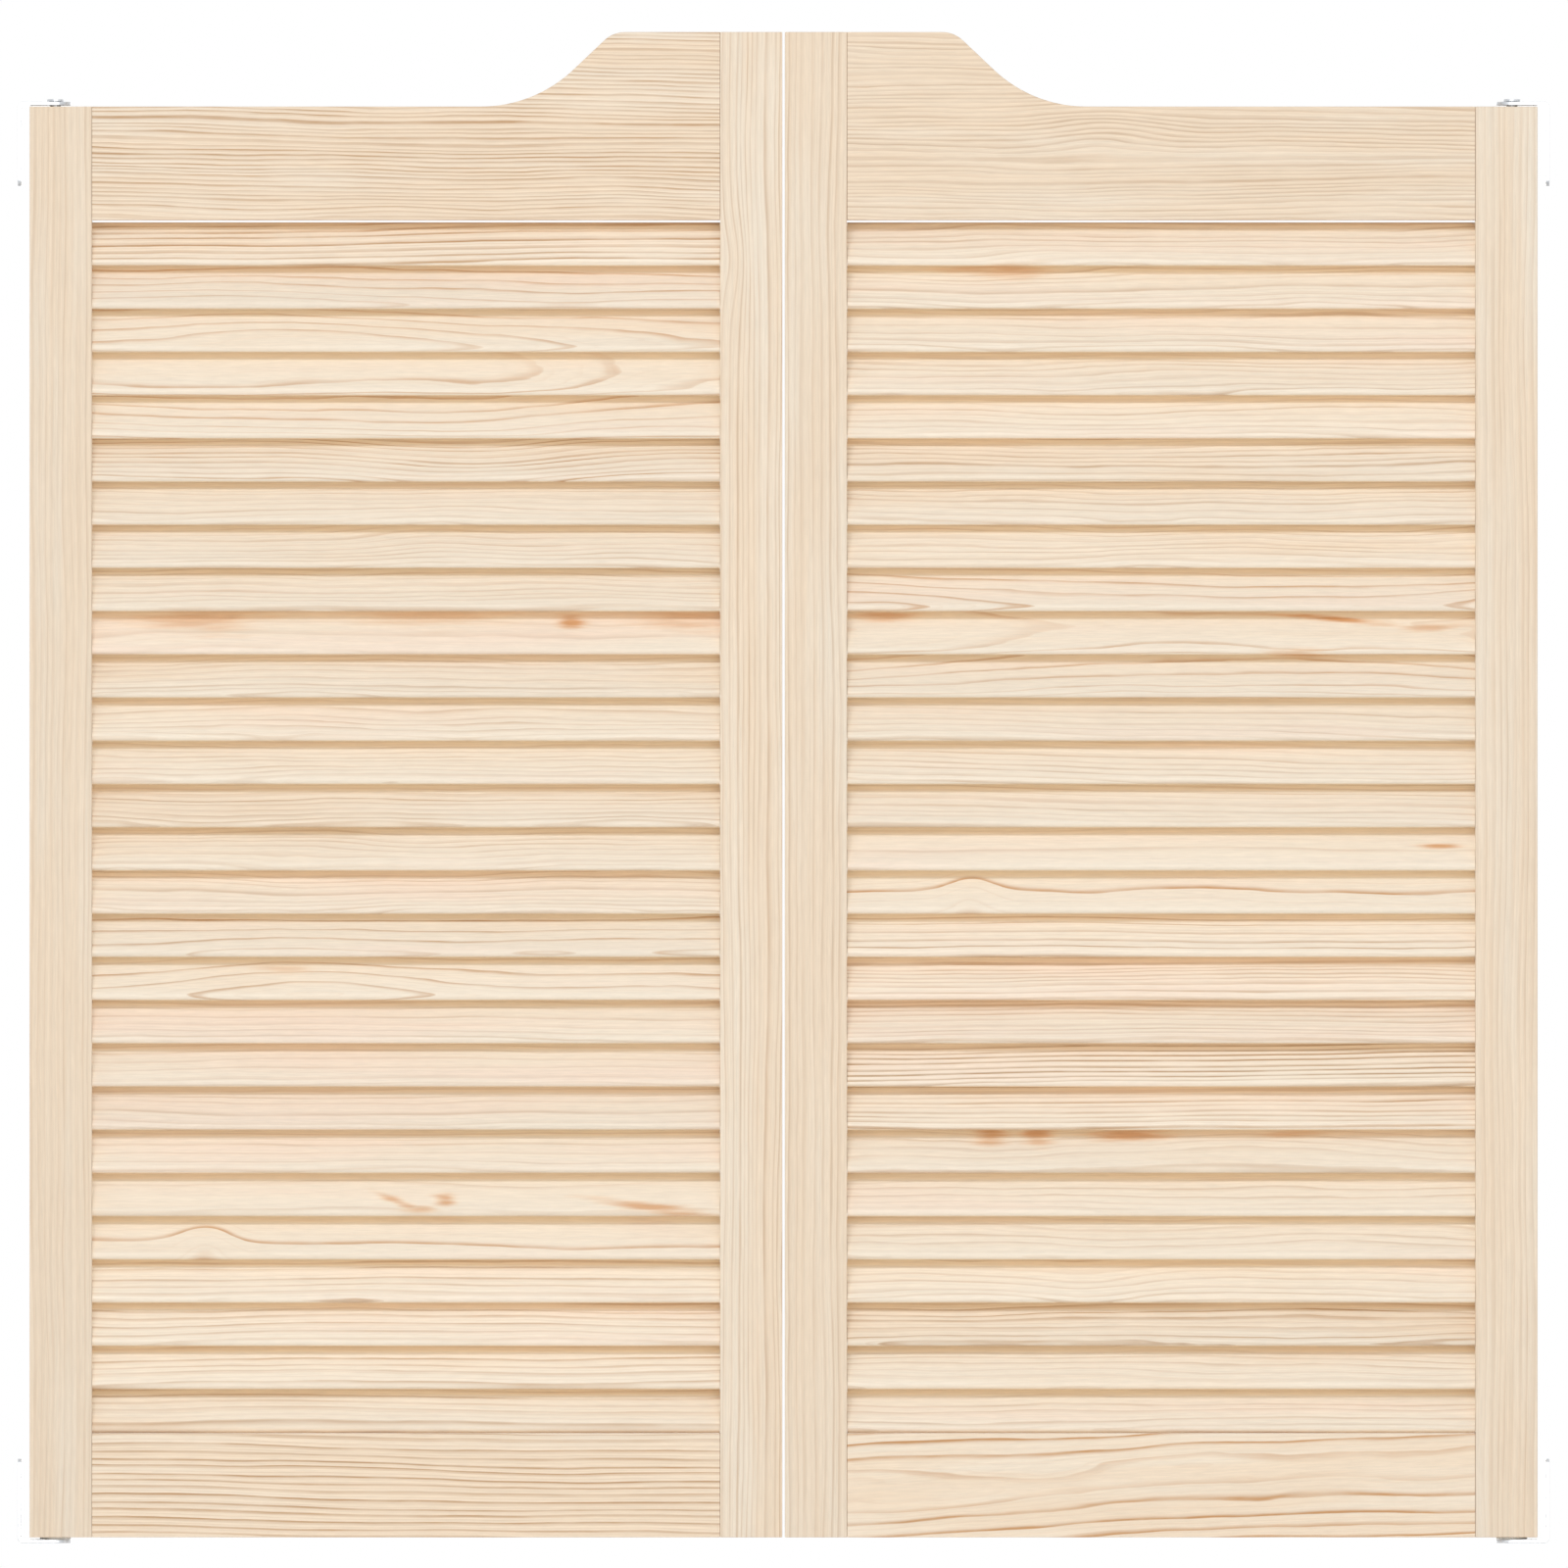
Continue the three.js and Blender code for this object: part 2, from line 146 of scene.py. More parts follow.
class Shader:
    """Adds and links the nodes of one material."""

    def __init__(self, name):
        self.material = bpy.data.materials.new(name)
        self.material.use_nodes = True
        self.tree = self.material.node_tree
        self.surface = self.tree.nodes["Principled BSDF"]

    def put(self, socket, value):
        if isinstance(value, bpy.types.NodeSocket):
            self.tree.links.new(value, socket)
        else:
            socket.default_value = value

    def node(self, kind, inputs, **settings):
        node = self.tree.nodes.new("ShaderNode" + kind)
        for key, value in settings.items():
            setattr(node, key, value)
        for key, value in inputs.items():
            self.put(node.inputs[key], value)
        return node

    def math(self, operation, *values, clamp=False):
        node = self.node("Math", dict(enumerate(values)), operation=operation, use_clamp=clamp)
        return node.outputs[0]

    def vector(self, operation, *values):
        return self.node("VectorMath", dict(enumerate(values)), operation=operation).outputs[0]

    def length(self, vector):
        return self.node("VectorMath", {0: vector}, operation="LENGTH").outputs["Value"]

    def attribute(self, name):
        return self.node("Attribute", {}, attribute_name=name).outputs["Vector"]

    def split(self, vector):
        return self.node("SeparateXYZ", {0: vector}).outputs

    def noise(self, place, stretch, detail=2.0, roughness=0.5, output="Fac"):
        spread = self.vector("MULTIPLY", place, stretch)
        settings = {"Vector": spread, "Scale": 1.0, "Detail": detail, "Roughness": roughness}
        return self.node("TexNoise", settings).outputs[output]

    def range(self, value, low, high, new_low=0.0, new_high=1.0):
        inputs = {0: value, 1: low, 2: high, 3: new_low, 4: new_high}
        return self.node("MapRange", inputs, interpolation_type="SMOOTHSTEP").outputs[0]

    def ramp(self, value, *stops):
        node = self.node("ValToRGB", {0: value})
        elements = node.color_ramp.elements
        while len(elements) < len(stops):
            elements.new(1.0)
        for element, (position, level) in zip(elements, stops):
            element.position = position
            element.color = (level, level, level, 1.0)
        return node.outputs[0]

    def mix(self, factor, first, second, blend="MIX"):
        node = self.node("Mix", {0: factor, 6: first, 7: second}, data_type="RGBA", blend_type=blend)
        return node.outputs[2]

    def scaled(self, value, factor, base):
        return self.math("MULTIPLY_ADD", value, factor, base)

    def dress(self, colour, roughness, height, relief):
        """Sets the surface's colour, its roughness and a fine relief."""
        bump = self.node("Bump", {"Height": height, "Distance": relief})
        self.put(self.surface.inputs["Base Color"], colour)
        self.put(self.surface.inputs["Roughness"], roughness)
        self.put(self.surface.inputs["Normal"], bump.outputs[0])


# Pine colours
EARLY_WOOD = linear(245, 232, 213)
PINK_WOOD = linear(248, 228, 209)
YELLOW_WOOD = linear(244, 224, 199)
LATE_WOOD = linear(188, 155, 120)
WARM_LATE_WOOD = linear(202, 152, 103)
STAINED_WOOD = linear(240, 205, 166)
KNOT_WOOD = linear(212, 153, 101)
END_WOOD = linear(222, 189, 149)

# Pine noises, in cycles for each metre along the grain, across it and through it
KNOT_EDGES = (24, 260, 260)
SLOW_BENDS = (4.5, 24, 24)
QUICK_BENDS = (16, 90, 90)
FIBRES = (60, 900, 900)
FADING = (14, 90, 90)
STREAKS = (3, 190, 190)
HUES = (4, 60, 60)

# Pine figure. A pair like VIGOUR is a factor and what is added, a four like FADE a span and its new ends.
SWELLS = 2  # most swells of the grain on one board
KNOTS = 4  # most knots on one board
KNOT_PUSH = 0.003  # how far a knot pushes the rings aside
KNOT_RAGGEDNESS = 1.3
KNOT_EDGE = (0.2, 1.1)  # between these a knot's colour sets in
WANDER = 0.016  # whole width of the slow bends
QUIVER = 0.0036  # whole width of the quick bends
UNEVEN_SCALE = 0.31  # how fast the rings' width changes from year to year
UNEVENNESS = 1.4
LATE_PROFILE = ((0.0, 0.35), (0.1, 0.9), (0.2, 1.0), (0.4, 0.75), (0.7, 0.25), (1.0, 0.0))
FINE_LINES = 2.7  # fainter lines for each ring
VIGOUR = (0.6, 0.4)  # strength of each year's line
FADE = (0.3, 0.65, 0.5, 1.0)  # lines fade here and there along the grain
SLANT_FADE = (0.0, 0.4, 0.3, 1.0)  # and where a face lies along the rings
FIBRE_FADE = (0.8, 0.6)
EVEN_HUE = 0.5  # neither pink nor yellow
FIBRE_LEVEL = (0.24, 0.88)
STREAK_LEVEL = (0.14, 0.93)
PALE_LEVEL = (0.1, 1.0)
END_GRAIN = (0.7, 0.95, 0.0, 0.6)  # how far end grain shows as a face turns upwards or downwards
FIBRE_ROUGHNESS = 0.16
LINE_ROUGHNESS = (-0.08, 0.5)
FIBRE_RELIEF = 0.00008
PINE_SPECULAR = 0.3

# Painted light on a slat, by how far from its centre towards a recess between slats a place lies: painted
# shade in the recess and a painted cooling of the open face
FACE = (-0.006, 0.006)  # between these the open face is painted a little cooler and darker, against the warm light that the slat above throws onto it
FACE_PAINTED_COOLING = (0.97, 0.985, 1.0, 1.0)
RECESS = (0.0075, 0.0125)  # between these the slat above comes to hide the face, and the painted shade sets in
RECESS_PAINTED_SHADE = (1.03, 0.92, 0.77, 1.0)  # painted shade, darker and warmer, in place of wood lit only by light from other wood
UNDER_NOSE = 0.0025  # how much less of a slat's underside lies in the painted shade of the recess
OUTSIDE = -0.02  # for wood that has neither the painted cooling nor the painted shade


def bell(shader, along, across):
    """1 at the centre of a feature, falling smoothly away from it."""
    square = shader.scaled(along, along, shader.math("MULTIPLY", across, across))
    return shader.math("EXPONENT", shader.math("MULTIPLY", square, -1.0))


def swells(shader):
    """Rings added where the grain swells round something deeper in the wood."""
    rings = 0.0
    for number in range(1, SWELLS + 1):
        along, across, strength = shader.split(shader.attribute(f"swell_{number}"))
        rings = shader.scaled(bell(shader, along, across), strength, rings)
    return rings


def knots(shader, place):
    """How far knots push the rings aside, and how strongly their colour shows."""
    ragged = shader.noise(place, KNOT_EDGES, detail=3)
    push = 0.0
    stain = 0.0
    for number in range(1, KNOTS + 1):
        along, across, strength = shader.split(shader.attribute(f"knot_{number}"))
        near = bell(shader, along, across)
        pushed = shader.math("MULTIPLY", shader.math("MULTIPLY", near, across), strength)
        push = shader.scaled(pushed, KNOT_PUSH, push)
        edge = shader.scaled(ragged, KNOT_RAGGEDNESS, shader.math("SUBTRACT", near, KNOT_RAGGEDNESS / 2))
        stained = shader.math("MULTIPLY", shader.range(edge, *KNOT_EDGE), strength)
        stain = shader.math("MAXIMUM", stain, stained)
    return push, stain


def bends(shader, place, stretch, detail, width):
    """Noise in three directions, to both sides of 0."""
    noise = shader.noise(place, stretch, detail=detail, output="Color")
    return shader.vector("MULTIPLY_ADD", noise, (width,) * 3, (-width / 2,) * 3)


def growth_rings(shader, place, ring_width, waviness, push):
    """Rings counted from the pith, which wanders along the log, and the slant at which a face cuts them."""
    wander = bends(shader, place, SLOW_BENDS, 1, WANDER)
    quiver = bends(shader, place, QUICK_BENDS, 2, QUIVER)
    spread = shader.node("CombineXYZ", {1: waviness, 2: waviness}).outputs[0]
    bent = shader.vector("MULTIPLY_ADD", shader.vector("ADD", wander, quiver), spread, place)
    section = shader.vector("MULTIPLY", bent, (0, 1, 1))
    distance = shader.length(section)
    slant = shader.math("DIVIDE", shader.math("ABSOLUTE", shader.split(section)[1]), distance)
    radius = shader.math("SUBTRACT", distance, push)
    rings = shader.math("ADD", shader.math("DIVIDE", radius, ring_width), swells(shader))
    years = {"W": rings, "Scale": UNEVEN_SCALE, "Detail": 1.0}
    uneven = shader.node("TexNoise", years, noise_dimensions="1D").outputs["Fac"]
    return shader.scaled(uneven, UNEVENNESS, rings), slant


def year_lines(shader, rings, late_share):
    """Dark late wood just inside each year's end, as a share of the year's growth."""
    left = shader.math("SUBTRACT", 1.0, shader.math("FRACT", rings))
    return shader.ramp(shader.math("DIVIDE", left, late_share), *LATE_PROFILE)


def grain_lines(shader, place, fibre, push):
    """How strongly the lines of late wood show, and how warm they are."""
    ring_width, late_share, waviness = shader.split(shader.attribute("rings"))
    strength, warm, fine_strength = shader.split(shader.attribute("lines"))
    rings, slant = growth_rings(shader, place, ring_width, waviness, push)
    year = shader.math("FLOOR", rings)
    vigour = shader.node("TexWhiteNoise", {"W": year}, noise_dimensions="1D").outputs["Value"]
    late = year_lines(shader, rings, late_share)
    fine = year_lines(shader, shader.math("MULTIPLY", rings, FINE_LINES), late_share)
    fade = shader.range(shader.noise(place, FADING, detail=3), *FADE)
    fade = shader.math("MULTIPLY", fade, shader.range(slant, *SLANT_FADE))
    fade = shader.math("MULTIPLY", fade, shader.scaled(fibre, *FIBRE_FADE))
    lines = shader.math("MULTIPLY", late, shader.scaled(vigour, *VIGOUR))
    lines = shader.scaled(fine, fine_strength, lines)
    lines = shader.math("MULTIPLY", shader.math("MULTIPLY", lines, fade), strength, clamp=True)
    return lines, warm


def pine(name, upright):
    shader = Shader(name)
    place = shader.attribute("grain")
    # The third number of tone places the painted cooling and painted shade on the slats
    pale, hue, shade_reach = shader.split(shader.attribute("tone"))
    fibre = shader.noise(place, FIBRES, detail=3, roughness=0.6)
    push, stain = knots(shader, place)
    lines, warm = grain_lines(shader, place, fibre, push)

    # Slow changes of hue, under the lines and knots
    hue = shader.math("ADD", shader.noise(place, HUES, detail=2), hue)
    colour = shader.mix(shader.range(hue, EVEN_HUE, 1.0), EARLY_WOOD, PINK_WOOD)
    colour = shader.mix(shader.range(hue, EVEN_HUE, 0.0), colour, YELLOW_WOOD)
    colour = shader.mix(lines, colour, shader.mix(warm, LATE_WOOD, WARM_LATE_WOOD))
    colour = shader.mix(stain, colour, shader.mix(stain, STAINED_WOOD, KNOT_WOOD))

    # Painted light: a painted cooling on a slat's open face, and painted shade on the part in the recess
    # behind the slat above
    for span, painted_light in ((FACE, FACE_PAINTED_COOLING), (RECESS, RECESS_PAINTED_SHADE)):
        painted_colour = shader.mix(1.0, colour, painted_light, "MULTIPLY")
        colour = shader.mix(shader.range(shade_reach, *span), colour, painted_colour)

    # Fibres, streaks and how pale the board is
    streak = shader.noise(place, STREAKS, detail=3, roughness=0.65)
    level = shader.scaled(fibre, *FIBRE_LEVEL)
    level = shader.math("MULTIPLY", level, shader.scaled(streak, *STREAK_LEVEL))
    level = shader.math("MULTIPLY", level, shader.scaled(pale, *PALE_LEVEL))
    colour = shader.mix(1.0, colour, level, "MULTIPLY")

    if upright:
        # End grain on the tops and feet
        normal = shader.node("NewGeometry", {}).outputs["Normal"]
        facing = shader.math("ABSOLUTE", shader.split(normal)[2])
        colour = shader.mix(shader.range(facing, *END_GRAIN), colour, END_WOOD)

    rough = shader.scaled(fibre, FIBRE_ROUGHNESS, shader.scaled(lines, *LINE_ROUGHNESS))
    shader.dress(colour, rough, fibre, FIBRE_RELIEF)
    shader.surface.inputs["Specular IOR Level"].default_value = PINE_SPECULAR
    return shader.material


# Metal and plastic. Noises are in cycles for each metre.
BRIGHT_ZINC = linear(226, 228, 230)
DULL_ZINC = linear(202, 205, 209)
BRIGHT_SPRING = linear(176, 180, 186)
DULL_SPRING = linear(140, 144, 150)
SPANGLE = (260, 260, 260)
BRUSHING = (2400, 2400, 140)
WORN = (0.35, 0.7)  # between these the spangle turns from dull to bright
METAL_ROUGHNESS = (0.2, 0.24)
DULL_NYLON = linear(232, 229, 220)
PALE_NYLON = linear(246, 244, 238)
MOTTLE = (180, 180, 180)
MOULD_GRAIN = (3000, 3000, 3000)
NYLON_ROUGHNESS = (0.15, 0.38)
FINE_RELIEF = 0.00002


def zinc(name, bright, dull):
    shader = Shader(name)
    place = shader.node("TexCoord", {}).outputs["Object"]
    spangle = shader.noise(place, SPANGLE, detail=3)
    brushed = shader.noise(place, BRUSHING, detail=2)
    colour = shader.mix(shader.range(spangle, *WORN), dull, bright)
    shader.dress(colour, shader.scaled(spangle, *METAL_ROUGHNESS), brushed, FINE_RELIEF)
    shader.surface.inputs["Metallic"].default_value = 1.0
    return shader.material


def nylon():
    shader = Shader("nylon")
    place = shader.node("TexCoord", {}).outputs["Object"]
    mottle = shader.noise(place, MOTTLE, detail=3)
    grain = shader.noise(place, MOULD_GRAIN, detail=2)
    colour = shader.mix(mottle, DULL_NYLON, PALE_NYLON)
    shader.dress(colour, shader.scaled(mottle, *NYLON_ROUGHNESS), grain, FINE_RELIEF)
    return shader.material


FINISHES = {
    "pine": pine("pine", False),
    "zinc_steel": zinc("zinc_steel", BRIGHT_ZINC, DULL_ZINC),
    "spring_steel": zinc("spring_steel", BRIGHT_SPRING, DULL_SPRING),
    "nylon": nylon(),
}
UPRIGHT_PINE = pine("upright_pine", True)


# Mesh tools

def arc(centre, radius, start, end, steps):
    """Points on an arc from one angle to another, in radians."""
    angles = [start + (end - start) * step / steps for step in range(steps + 1)]
    return [(centre[0] + radius * math.cos(a), centre[1] + radius * math.sin(a)) for a in angles]


def circle(centre, radius, sides):
    return arc(centre, radius, 0, 2 * math.pi, sides)[:-1]


def prism(outline, place, start, end):
    """Closed mesh between two copies of a flat outline. place(u, v, depth) gives each point."""
    count = len(outline)
    points = [place(u, v, depth) for depth in (start, end) for u, v in outline]
    faces = [list(range(count)), list(range(count, 2 * count))]
    faces += [[k, (k + 1) % count, count + (k + 1) % count, count + k] for k in range(count)]
    return closed(points, faces)


def closed(points, faces):
    """Mesh with all its faces turned outwards."""
    mesh = bpy.data.meshes.new("work")
    mesh.from_pydata(points, [], faces)
    shape = bmesh.new()
    shape.from_mesh(mesh)
    bmesh.ops.recalc_face_normals(shape, faces=shape.faces)
    shape.to_mesh(mesh)
    shape.free()
    return mesh


def along_x(u, v, depth):
    return (depth, u, v)


def along_z(u, v, depth):
    return (u, v, depth)


def block(low, high):
    outline = [(low[0], low[1]), (high[0], low[1]), (high[0], high[1]), (low[0], high[1])]
    return prism(outline, along_z, low[2], high[2])


def combined(operation, first, *others):
    """Boolean of closed meshes: UNION, DIFFERENCE or INTERSECT."""
    meshes = [first, *others]
    objects = [bpy.data.objects.new("work", mesh) for mesh in meshes]
    for item in objects:
        bpy.context.scene.collection.objects.link(item)
    for tool in objects[1:]:
        modifier = objects[0].modifiers.new("tool", "BOOLEAN")
        modifier.operation = operation
        modifier.solver = "EXACT"
        modifier.object = tool
    graph = bpy.context.evaluated_depsgraph_get()
    result = bpy.data.meshes.new_from_object(objects[0].evaluated_get(graph))
    for item in objects:
        bpy.data.objects.remove(item)
    return result


def welded(mesh):
    """Joins points that lie in one place, and takes out faces with no width."""
    shape = bmesh.new()
    shape.from_mesh(mesh)
    bmesh.ops.remove_doubles(shape, verts=shape.verts, dist=WELD)
    bmesh.ops.dissolve_degenerate(shape, edges=shape.edges, dist=WELD)
    shape.to_mesh(mesh)
    shape.free()
    return mesh


def eased(mesh, width, steps):
    """Rounds the sharp edges of a mesh by a real, narrow round."""
    shape = bmesh.new()
    shape.from_mesh(mesh)
    bmesh.ops.remove_doubles(shape, verts=shape.verts, dist=WELD)
    bmesh.ops.dissolve_limit(shape, angle_limit=FLAT, verts=shape.verts, edges=shape.edges)
    edges = [edge for edge in shape.edges if edge.is_manifold and edge.calc_face_angle() > SHARP]
    bmesh.ops.bevel(
        shape, geom=edges, offset=width, segments=steps, profile=ROUND_PROFILE, affect="EDGES",
        clamp_overlap=True,
    )
    bmesh.ops.recalc_face_normals(shape, faces=shape.faces)
    result = bpy.data.meshes.new("work")
    shape.to_mesh(result)
    shape.free()
    return result


def add_piece(node, mesh, slot, material=None):
    """Puts a finished mesh into the scene in place of a CAD node."""
    name = f"{node}_made"
    mesh.name = name
    mesh.materials.clear()
    mesh.materials.append(material or FINISHES[slot])
    mesh.polygons.foreach_set("use_smooth", [True] * len(mesh.polygons))
    mesh.set_sharp_from_angle(angle=CREASE)
    piece = bpy.data.objects.new(name, mesh)
    bpy.context.scene.collection.objects.link(piece)
    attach(piece, BODY_OF[node])
    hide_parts(node)


# Wood
LOG_LENGTH = 40  # boards are taken from anywhere along this
PITH_BESIDE = (0.15, 0.3)  # how far the pith lies to one side of a plank's middle
PITH_DEPTH = (0.02, 0.1)  # and how far in front of it
PALE_SPREAD = 0.25  # how far a slat may differ from its plank
HUE_SPREAD = 0.1


class Plank:
    """Sawn wood. Its pith lies to one side of its middle or, in a flat-sawn plank, straight in front of it.

    ring and late are the rings' width and the share of it that is dark. lines, fine and warm are the strength
    of the lines, of fainter ones and their warmth. wave and rise are how far the rings wander and slope. pale
    and hue change the colour. flat is the pith's place across the plank and its distance in front. Each swell
    and knot has its place along and across, half its length, half its height, its strength and any slope.
    """

    def __init__(
        self, name, centre, ring=0.005, late=0.5, lines=0.6, fine=0.2, wave=0.8, rise=0.0,
        pale=0.0, hue=0.0, warm=0.3, flat=None, swells=(), knots=(),
    ):
        draw = random.Random(name)
        self.start = draw.uniform(0, LOG_LENGTH)
        beside = draw.choice((-1, 1)) * draw.uniform(*PITH_BESIDE)
        self.pith = centre + beside if flat is None else flat[0]
        self.depth = draw.uniform(*PITH_DEPTH) if flat is None else flat[1]
        self.rings = (ring, late, wave)
        self.lines = (lines, warm, fine)
        self.rise = rise
        self.tone = (pale, hue)
        self.swells = swells
        self.knots = knots

    def marks(self, places, tone, shade_reaches=None):
        """Wood attributes for places (along, across, depth) on a board of this plank."""
        marks = {
            "grain": [
                (self.start + along, across - self.pith - self.rise * along, depth + self.depth)
                for along, across, depth in places
            ],
            "rings": [self.rings] * len(places),
            "lines": [self.lines] * len(places),
            # the third number of each tone says where a slat's painted cooling and painted shade fall
            "tone": [(*tone, shade_reach) for shade_reach in shade_reaches or [OUTSIDE] * len(places)],
        }
        for name, features in (("swell", self.swells), ("knot", self.knots)):
            for number, (x, z, half_length, half_height, strength, *tilt) in enumerate(features, 1):
                slope = tilt[0] if tilt else 0.0
                marks[f"{name}_{number}"] = [
                    ((along - x) / half_length, (across - z - slope * (along - x)) / half_height, strength)
                    for along, across, depth in places
                ]
        return marks


def paint(mesh, marks):
    for name, vectors in marks.items():
        layer = mesh.attributes.new(name, "FLOAT_VECTOR", "POINT")
        layer.data.foreach_set("vector", [number for vector in vectors for number in vector])


def middle(low, high):
    return (low + high) / 2


def stile(side, node, plank):
    name = f"{side}_{node}"
    mesh = eased(frame["nodes"][name].data, EASE, EASE_STEPS)
    centre = middle(*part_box(name))
    places = [(point.co.z, point.co.x - centre.x, point.co.y) for point in mesh.vertices]
    paint(mesh, plank.marks(places, plank.tone))
    add_piece(name, mesh, "pine", UPRIGHT_PINE)


def rail(side, node, plank):
    """A rail, closed up to the stiles as a glued joint is."""
    name = f"{side}_{node}"
    mesh = eased(frame["nodes"][name].data, EASE, EASE_STEPS)
    centre = middle(*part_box(name))
    closing = (opening_half - CLOSE) / (opening_half - FIT)
    for point in mesh.vertices:
        point.co.x = centre.x + (point.co.x - centre.x) * closing
    places = [(point.co.x - centre.x, point.co.z, point.co.y) for point in mesh.vertices]
    paint(mesh, plank.marks(places, plank.tone))
    add_piece(name, mesh, "pine")


# Slat sizes, from the first two pairs on the left leaf
first_low, first_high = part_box("left_slat_pair_01")
second_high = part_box("left_slat_pair_02")[1]
slat_pitch = (first_high.z - second_high.z) / SLATS_PER_NODE
slat_height = first_high.z - first_low.z - (SLATS_PER_NODE - 1) * slat_pitch
slat_run = first_high.y - first_low.y - SLAT_THICKNESS
slat_rise = slat_height - SLAT_THICKNESS
slat_angle = math.atan2(slat_rise, slat_run)
slat_slope = Vector((0, math.cos(slat_angle), math.sin(slat_angle)))
slat_normal = Vector((0, math.sin(slat_angle), -math.cos(slat_angle)))
opening = (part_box("left_hinge_stile")[1].x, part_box("left_meeting_stile")[0].x)
opening_half = (opening[1] - opening[0]) / 2
tenon_reach = (first_high.x - first_low.x) / 2


def slat_blank():
    """One bull-nosed slat about its own centre, with the end blocks that fill the stile grooves."""
    radius = SLAT_THICKNESS / 2
    across = slat_angle + math.pi / 2
    front = (-slat_run / 2, -slat_rise / 2)
    back = (slat_run / 2, slat_rise / 2)
    outline = arc(front, radius, across, across + math.pi, NOSE_STEPS)
    outline += arc(back, radius, across + math.pi, across + 2 * math.pi, NOSE_STEPS)
    board = prism(outline, along_x, -opening_half + CLOSE, opening_half - CLOSE)
    slope = TENON_HALF * math.tan(slat_angle)
    half = radius / math.cos(slat_angle)
    tenon = [
        (-TENON_HALF, -slope - half),
        (TENON_HALF, slope - half),
        (TENON_HALF, slope + half),
        (-TENON_HALF, -slope + half),
    ]
    top = (slat_pitch - FIT) / 2
    ends = [
        prism(tenon, along_x, -tenon_reach, -opening_half + CLOSE),
        prism(tenon, along_x, opening_half - CLOSE, tenon_reach),
        block((-tenon_reach, -TENON_HALF, -top), (-opening_half, TENON_HALF, top)),
        block((opening_half, -TENON_HALF, -top), (tenon_reach, TENON_HALF, top)),
    ]
    return combined("UNION", board, *ends)


def slat_shade_reach(place):
    """How far from a slat's centre towards a recess a place lies, which sets where its painted cooling and
    painted shade fall. The end blocks have neither.
    """
    if abs(place.x) > opening_half - CLOSE / 2:
        return OUTSIDE
    if place.dot(slat_normal) < 0:
        return place.dot(slat_slope)
    return -place.dot(slat_slope) - UNDER_NOSE


def slat_pair(side, number, blank, planks):
    """Two slats. Their grain runs on from slat to slat where they share a plank."""
    name = f"{side}_slat_pair_{number:02d}"
    low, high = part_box(name)
    # where each point of a slat lies in its painted cooling and painted shade
    shade_reaches = [slat_shade_reach(point.co) for point in blank.vertices]
    draw = random.Random(name)
    points = []
    faces = []
    rows = []
    for row in range(SLATS_PER_NODE):
        centre = middle(low, high)
        centre.z = high.z - slat_height / 2 - row * slat_pitch
        plank = planks[SLATS_PER_NODE * (number - 1) + row]
        seen = math.sin(slat_angle)
        places = [
            (point.co.x, centre.z + point.co.dot(slat_slope) * seen, point.co.dot(slat_normal))
            for point in blank.vertices
        ]
        pale, hue = plank.tone
        pale += draw.uniform(-PALE_SPREAD, PALE_SPREAD)
        hue += draw.uniform(-HUE_SPREAD, HUE_SPREAD)
        rows.append(plank.marks(places, (pale, hue), shade_reaches))
        faces += [[len(points) + corner for corner in face.vertices] for face in blank.polygons]
        points += [point.co + centre for point in blank.vertices]
    mesh = closed(points, faces)
    nothing = [(0.0, 0.0, 0.0)] * len(blank.vertices)
    kinds = {kind for marks in rows for kind in marks}
    paint(mesh, {kind: [v for marks in rows for v in marks.get(kind, nothing)] for kind in sorted(kinds)})
    add_piece(name, mesh, "pine")


